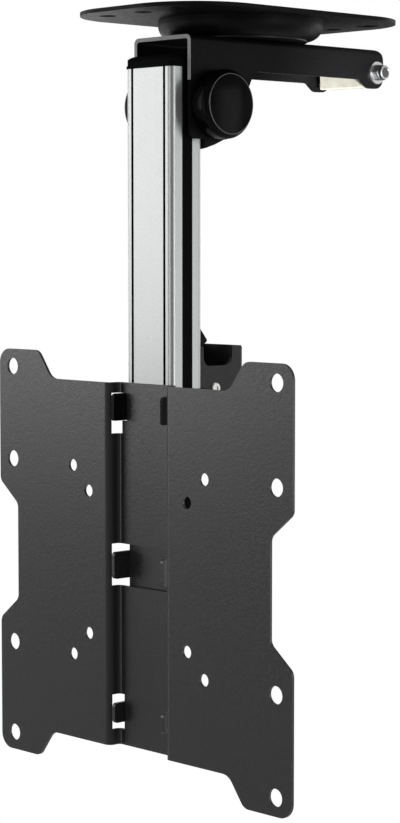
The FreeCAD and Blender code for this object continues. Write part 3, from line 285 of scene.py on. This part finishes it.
# Plating or moulding: soft cloudy patches with a very fine skin
def make_cloud_group():
    group, given = open_group("cloudy_skin", (("Clouds", 180.0), ("Skin", 3000.0)))
    clouds = add_noise(group, given["Vector"], scale=given["Clouds"], detail=3.0)
    skin = add_noise(group, given["Vector"], scale=given["Skin"], detail=2.0, roughness=0.6)
    colour = add_tint(group, given["Colour"], clouds, dark=0.9, light=1.1)
    roughness = vary_roughness(group, given, clouds, less=0.06, more=0.08)
    return close_group(group, colour, roughness, skin)


POWDER = make_powder_group()
DIE_LINES = make_die_line_group()
CLOUDS = make_cloud_group()


# Finishes; depth is the bump's in metres, and scales change the group's own

def make_finish(name, group, colour, roughness, depth, metallic=0.0, specular=0.5, coat=0.0, scales=()):
    finish = bpy.data.materials.new(name)
    finish.use_nodes = True
    tree = finish.node_tree
    shader = tree.nodes["Principled BSDF"]
    shader.inputs["Metallic"].default_value = metallic
    shader.inputs["Specular IOR Level"].default_value = specular
    shader.inputs["Coat Weight"].default_value = coat
    shader.inputs["Coat Roughness"].default_value = COAT_ROUGHNESS
    place = tree.nodes.new("ShaderNodeTexCoord")
    skin = tree.nodes.new("ShaderNodeGroup")
    skin.node_tree = group
    skin.inputs["Colour"].default_value = (*colour, 1.0)
    skin.inputs["Roughness"].default_value = roughness
    for label, scale in scales:
        skin.inputs[label].default_value = scale
    tree.links.new(place.outputs["Object"], skin.inputs["Vector"])
    tree.links.new(skin.outputs["Colour"], shader.inputs["Base Color"])
    tree.links.new(skin.outputs["Roughness"], shader.inputs["Roughness"])
    bump = tree.nodes.new("ShaderNodeBump")
    bump.inputs["Strength"].default_value = BUMP_STRENGTH
    bump.inputs["Distance"].default_value = depth
    tree.links.new(skin.outputs["Height"], bump.inputs["Height"])
    tree.links.new(bump.outputs["Normal"], shader.inputs["Normal"])
    return finish


# One finish for each material slot of the record
FINISHES = {
    "black_steel": make_finish(
        "black_powder_coat", POWDER, COAT_BLACK, roughness=0.42, depth=0.00008, specular=0.1),
    "charcoal_steel": make_finish(
        "charcoal_powder_coat", POWDER, COAT_CHARCOAL, roughness=0.34, depth=0.00016, specular=1.0,
        coat=0.4, scales=(("Grain", 1000.0),)),
    "silver_aluminium": make_finish(
        "anodised_extrusion", DIE_LINES, ANODISED_SILVER, roughness=0.33, depth=0.00004, metallic=1.0),
    "black_plastic": make_finish(
        "moulded_black", CLOUDS, MOULDED_BLACK, roughness=0.34, depth=0.00003, specular=0.4),
    "cream_nylon": make_finish(
        "cream_nylon", CLOUDS, NYLON_CREAM, roughness=0.5, depth=0.00003),
    "zinc_steel": make_finish(
        "bright_zinc", CLOUDS, ZINC_BRIGHT, roughness=0.34, depth=0.00002, metallic=1.0),
    "dark_zinc": make_finish(
        "dark_zinc", CLOUDS, ZINC_DARK, roughness=0.38, depth=0.00003, metallic=1.0),
}

# Finishes of their own, where a piece differs from its slot in the photograph
insert_black = make_finish("insert_black", CLOUDS, STRIP_BLACK, roughness=0.7, depth=0.00003, specular=0.03)
cap_black = make_finish("cap_black", CLOUDS, MOULDED_BLACK, roughness=0.17, depth=0.00002, specular=0.09)
bead_gloss = make_finish(
    "bead_gloss", CLOUDS, MOULDED_BLACK, roughness=0.2, depth=0.00001, specular=1.0, coat=1.0)
bracket_grey = make_finish(
    "bracket_powder_coat", POWDER, COAT_BRACKET, roughness=0.42, depth=0.00009, specular=0.45)
OWN_FINISHES = {
    "side_strip_left": insert_black,
    "side_strip_right": insert_black,
    "column_head_cap": insert_black,
    "cap_left": cap_black,
    "cap_right": cap_black,
    "end_lock_nut": FINISHES["dark_zinc"],
    "end_bolt": FINISHES["dark_zinc"],
    "foot_bracket": FINISHES["charcoal_steel"],
    "latch_housing": bracket_grey,
}


# A mask of 1 where Object coordinates lie inside all limits; X counts from the middle to both sides
def add_slab_mask(tree, limits):
    place = tree.nodes.new("ShaderNodeTexCoord")
    split = tree.nodes.new("ShaderNodeSeparateXYZ")
    tree.links.new(place.outputs["Object"], split.inputs["Vector"])
    mask = None
    for axis, low, high in limits:
        value = split.outputs[axis]
        if axis == "X":
            value = add_math(tree, "ABSOLUTE", value)
        above = add_math(tree, "GREATER_THAN", value, low)
        inside = add_math(tree, "MULTIPLY", above, add_math(tree, "LESS_THAN", value, high))
        mask = inside if mask is None else add_math(tree, "MULTIPLY", mask, inside)
    return mask


# A finish with a second colour painted in a slab, used here for painted shade and a painted highlight, where
# a dull coat also loses its gloss
def add_slab_colour(finish, name, colour, limits, dull=None):
    copy = finish.copy()
    copy.name = name
    tree = copy.node_tree
    shader = tree.nodes["Principled BSDF"]
    mask = add_slab_mask(tree, limits)
    mix = tree.nodes.new("ShaderNodeMix")
    mix.data_type = "RGBA"
    tree.links.new(mask, mix.inputs["Factor"])
    tree.links.new(shader.inputs["Base Color"].links[0].from_socket, mix.inputs["A"])
    mix.inputs["B"].default_value = (*colour, 1.0)
    tree.links.new(mix.outputs["Result"], shader.inputs["Base Color"])
    if dull is not None:
        rough = shader.inputs["Roughness"].links[0].from_socket
        tree.links.new(add_range(tree, mask, 0.0, 1.0, rough, dull), shader.inputs["Roughness"])
        coat = shader.inputs["Coat Weight"].default_value
        tree.links.new(add_range(tree, mask, 0.0, 1.0, coat, 0.0), shader.inputs["Coat Weight"])
    return copy


def add_place_finishes():
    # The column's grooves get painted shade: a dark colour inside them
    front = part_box("column")[0][1]
    grooves = (("X", GROOVE_OFFSET - GROOVE_HALF, GROOVE_OFFSET + GROOVE_HALF),
               ("Y", front + GROOVE_SHADE_START, front + GROOVE_SHADE_END))
    OWN_FINISHES["column"] = add_slab_colour(
        FINISHES["silver_aluminium"], "grooved_extrusion_painted_shade", GROOVE_PAINTED_SHADE, grooves)
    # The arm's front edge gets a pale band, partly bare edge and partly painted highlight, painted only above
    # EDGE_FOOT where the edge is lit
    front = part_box("arm_channel")[0][1]
    edge = (("Y", front - EDGE_BEFORE, front + EDGE_BEHIND), ("Z", EDGE_FOOT, 0.0))
    OWN_FINISHES["arm_channel"] = add_slab_colour(
        FINISHES["black_steel"], "sheared_edge_and_painted_highlight", EDGE_AND_HIGHLIGHT_GREY, edge)
    # The recess bends get painted shade: a near-black colour, with the coat's gloss taken off
    low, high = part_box("tv_plate")
    bends = (("X", RECESS_BEND_IN, RECESS_BEND_OUT),
             ("Y", low[1] + RECESS_FRONT_SKIN, high[1] - RECESS_BACK_SKIN))
    OWN_FINISHES["tv_plate"] = add_slab_colour(
        FINISHES["charcoal_steel"], "recess_bends_painted_shade", RECESS_PAINTED_SHADE, bends, dull=RECESS_ROUGHNESS)


def finish_nodes():
    slots = {part["node"]: part["material_slot"] for part in frame["record"]["subparts"]}
    for name, node in frame["nodes"].items():
        finish = OWN_FINISHES.get(name, FINISHES[slots[name]])
        for place in node.material_slots:
            place.material = finish
        node.data.set_sharp_from_angle(angle=math.radians(NODE_SMOOTH_ANGLE))


# Steps that the new pieces share

def middle_of(node):
    low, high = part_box(node)
    return [(a + b) / 2 for a, b in zip(low, high)]


def settle_place():
    bpy.ops.object.transform_apply(location=True, rotation=True, scale=True)


def soften_edges(piece, width):
    soften = piece.modifiers.new("soften", "BEVEL")
    soften.width = width
    soften.segments = SOFT_SEGMENTS
    soften.limit_method = "ANGLE"
    bpy.ops.object.modifier_apply(modifier=soften.name)


# A second piece like the first, with a mesh of its own, moved to its place
def copy_piece(piece, name, shift):
    bpy.ops.object.select_all(action="DESELECT")
    piece.select_set(True)
    bpy.context.view_layer.objects.active = piece
    bpy.ops.object.duplicate()
    copy = bpy.context.object
    copy.name = name
    bpy.ops.transform.translate(value=shift)
    settle_place()
    return copy


# A thin ring about the X axis: the four edges of its section are spun round, then softened
def make_ring(name, centre, radius, thickness, width, finish):
    x, y, z = centre
    section = (x, y + radius, z)
    bpy.ops.object.select_all(action="DESELECT")
    bpy.ops.mesh.primitive_plane_add(size=1, location=section)
    ring = bpy.context.object
    ring.name = name
    bpy.ops.object.mode_set(mode="EDIT")
    bpy.ops.mesh.select_all(action="SELECT")
    bpy.ops.transform.resize(value=(width, thickness, 1), center_override=section)
    bpy.ops.mesh.delete(type="ONLY_FACE")
    bpy.ops.mesh.select_all(action="SELECT")
    bpy.ops.mesh.spin(steps=RING_STEPS, angle=math.tau, center=centre, axis=(1, 0, 0))
    bpy.ops.mesh.select_all(action="SELECT")
    bpy.ops.mesh.remove_doubles(threshold=MERGE_DISTANCE)
    bpy.ops.mesh.normals_make_consistent(inside=False)
    bpy.ops.object.mode_set(mode="OBJECT")
    settle_place()
    soften_edges(ring, min(width, thickness) * RING_SOFTENING)
    bpy.ops.object.shade_smooth()
    ring.data.materials.append(finish)
    return ring


# Raised bead round each hinge cap's face
def make_cap_beads():
    middle = middle_of("cap_left")
    left_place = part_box("cap_left")[0][0] + CAP_BEAD_DROP
    right_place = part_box("cap_right")[1][0] - CAP_BEAD_DROP
    left = make_ring(
        "cap_bead_left", (left_place, middle[1], middle[2]), CAP_BEAD_RADIUS, CAP_BEAD, CAP_BEAD, bead_gloss)
    right = copy_piece(left, "cap_bead_right", (right_place - left_place, 0, 0))
    for bead in (left, right):
        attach(bead, "arm")


# Bright rolled rim of the end nut's collar
def make_nut_rim():
    middle = middle_of("end_lock_nut")
    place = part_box("end_lock_nut")[1][0] - NUT_RIM_DROP
    rim = make_ring(
        "nut_rim", (place, middle[1], middle[2]), NUT_RIM_RADIUS, NUT_RIM, NUT_RIM_WIDTH,
        FINISHES["zinc_steel"])
    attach(rim, "arm")


# Plastic plug on the web's back, in line with a housing screw: a dished flange with a stem in its hole.
# The bevels meet halfway down the dish's wall, and their shared corners are merged
def make_plug(name, place):
    bpy.ops.object.select_all(action="DESELECT")
    bpy.ops.mesh.primitive_cylinder_add(
        vertices=PLUG_SIDES, radius=PLUG_FLANGE, depth=PLUG_SHEET, location=place,
        rotation=(math.pi / 2, 0, 0))
    plug = bpy.context.object
    plug.name = name
    settle_place()
    for way, inset, reach in ((-1, PLUG_STEM_INSET, PLUG_STEM), (1, PLUG_DISH_INSET, -PLUG_DISH)):
        bpy.ops.object.mode_set(mode="EDIT")
        bpy.ops.mesh.select_all(action="DESELECT")
        bpy.ops.object.mode_set(mode="OBJECT")
        for face in plug.data.polygons:
            face.select = face.normal.y * way > FACING
        bpy.ops.object.mode_set(mode="EDIT")
        bpy.ops.mesh.inset(thickness=inset)
        bpy.ops.mesh.extrude_region_move(TRANSFORM_OT_translate={"value": (0, way * reach, 0)})
        bpy.ops.object.mode_set(mode="OBJECT")
    soften_edges(plug, PLUG_SOFTENING)
    bpy.ops.object.mode_set(mode="EDIT")
    bpy.ops.mesh.select_all(action="SELECT")
    bpy.ops.mesh.remove_doubles(threshold=MERGE_DISTANCE)
    bpy.ops.object.mode_set(mode="OBJECT")
    bpy.ops.object.shade_smooth_by_angle(angle=math.radians(PLUG_SMOOTH_ANGLE))
    plug.data.materials.append(FINISHES["black_plastic"])
    return plug


def make_plugs():
    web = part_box("latch_housing")[1][1]
    first_level = middle_of("housing_screw_1")[2]
    second_level = middle_of("housing_screw_2")[2]
    first = make_plug("housing_plug_1", (0, web + PLUG_SHEET / 2, first_level))
    second = copy_piece(first, "housing_plug_2", (0, 0, second_level - first_level))
    for plug in (first, second):
        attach(plug, "column")


# Latch spring: a wire's section is wound up from the slide's lug to the housing's ear. The coil takes
# its node's place
def make_spring():
    centre = middle_of("latch_spring")
    low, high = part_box("latch_spring")
    radius = (high[0] - low[0]) / 2 - SPRING_WIRE
    bpy.ops.object.select_all(action="DESELECT")
    bpy.ops.mesh.primitive_circle_add(
        vertices=SPRING_SIDES, radius=SPRING_WIRE, location=(radius, 0, 0), rotation=(math.pi / 2, 0, 0))
    spring = bpy.context.object
    spring.name = "latch_coil"
    settle_place()
    coil = spring.modifiers.new("coil", "SCREW")
    coil.axis = "Z"
    coil.angle = math.tau
    coil.iterations = SPRING_TURNS
    coil.screw_offset = (high[2] - low[2] - 2 * SPRING_WIRE - 2 * SPRING_PLAY) / SPRING_TURNS
    coil.steps = SPRING_STEPS
    coil.render_steps = SPRING_STEPS
    bpy.ops.object.modifier_apply(modifier=coil.name)
    bpy.ops.object.mode_set(mode="EDIT")
    bpy.ops.mesh.select_all(action="SELECT")
    bpy.ops.mesh.remove_doubles(threshold=MERGE_DISTANCE)
    bpy.ops.mesh.fill_holes(sides=0)
    bpy.ops.mesh.select_all(action="SELECT")
    bpy.ops.mesh.normals_make_consistent(inside=False)
    bpy.ops.object.mode_set(mode="OBJECT")
    spring.location = (centre[0], centre[1], low[2] + SPRING_WIRE + SPRING_PLAY)
    settle_place()
    bpy.ops.object.shade_smooth_by_angle(angle=math.radians(SPRING_SMOOTH_ANGLE))
    spring.data.materials.append(FINISHES["zinc_steel"])
    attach(spring, "column")
    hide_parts("latch_spring")
    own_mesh(spring)


def make_camera():
    camera = bpy.data.cameras.new("photo_camera")
    camera.lens = CAMERA_LENS
    camera.sensor_width = SENSOR_LONG_SIDE
    holder = bpy.data.objects.new("photo_camera", camera)
    holder.location = CAMERA_PLACE
    holder.rotation_euler = (math.radians(90 - CAMERA_PITCH), 0, math.radians(CAMERA_AZIMUTH))
    bpy.context.collection.objects.link(holder)
    bpy.context.scene.camera = holder


# The strength that a ray meets: the largest of those named for its kinds
def add_ray_strength(tree, strengths):
    path = tree.nodes.new("ShaderNodeLightPath")
    total = None
    for ray, strength in strengths:
        part = add_math(tree, "MULTIPLY", path.outputs[ray], strength)
        total = part if total is None else add_math(tree, "MAXIMUM", total, part)
    return total


def make_world():
    world = bpy.data.worlds.new("studio")
    bpy.context.scene.world = world
    world.use_nodes = True
    tree = world.node_tree
    glow = tree.nodes["Background"]
    glow.inputs["Color"].default_value = WHITE
    seen = add_ray_strength(tree, (*WHITE_RAYS, ("Is Glossy Ray", ROOM_LEVEL)))
    strength = add_math(tree, "MAXIMUM", seen, ROOM_LEVEL)
    tree.links.new(strength, glow.inputs["Strength"])


def make_floor():
    bpy.ops.mesh.primitive_plane_add(size=FLOOR_SIZE, location=(0, 0, FLOOR_LEVEL))
    floor = bpy.context.object
    floor.name = "floor"
    paint = bpy.data.materials.new("pale_floor")
    paint.use_nodes = True
    tree = paint.node_tree
    shader = tree.nodes["Principled BSDF"]
    shader.inputs["Base Color"].default_value = FLOOR_COLOUR
    shader.inputs["Roughness"].default_value = FLOOR_ROUGHNESS
    glow = tree.nodes.new("ShaderNodeEmission")
    mix = tree.nodes.new("ShaderNodeMixShader")
    seen = add_ray_strength(tree, (*WHITE_RAYS, ("Is Glossy Ray", FLOOR_GLOSS)))
    tree.links.new(seen, mix.inputs["Fac"])
    tree.links.new(shader.outputs["BSDF"], mix.inputs[1])
    tree.links.new(glow.outputs["Emission"], mix.inputs[2])
    tree.links.new(mix.outputs["Shader"], tree.nodes["Material Output"].inputs["Surface"])
    floor.data.materials.append(paint)


def place_lamp(lamp, place, target):
    holder = bpy.data.objects.new(lamp.name, lamp)
    holder.location = place
    aim = Vector(target) - Vector(place)
    holder.rotation_euler = aim.to_track_quat("-Z", "Y").to_euler()
    bpy.context.collection.objects.link(holder)
    return holder


def make_softboxes():
    for name, place, target, width, height, power in SOFTBOXES:
        lamp = bpy.data.lights.new(name, "AREA")
        lamp.shape = "RECTANGLE"
        lamp.size = width
        lamp.size_y = height
        lamp.energy = power
        place_lamp(lamp, place, target).visible_camera = False


def make_kicker():
    lamp = bpy.data.lights.new("block_kicker", "SPOT")
    lamp.spot_size = math.radians(KICKER_CONE)
    lamp.spot_blend = KICKER_BLEND
    lamp.shadow_soft_size = KICKER_RADIUS
    lamp.energy = KICKER_POWER
    place_lamp(lamp, KICKER_PLACE, KICKER_TARGET)


add_place_finishes()
finish_nodes()
make_cap_beads()
make_nut_rim()
make_plugs()
make_spring()
make_camera()
make_world()
make_floor()
make_softboxes()
make_kicker()
bpy.context.scene.view_settings.view_transform = "Standard"
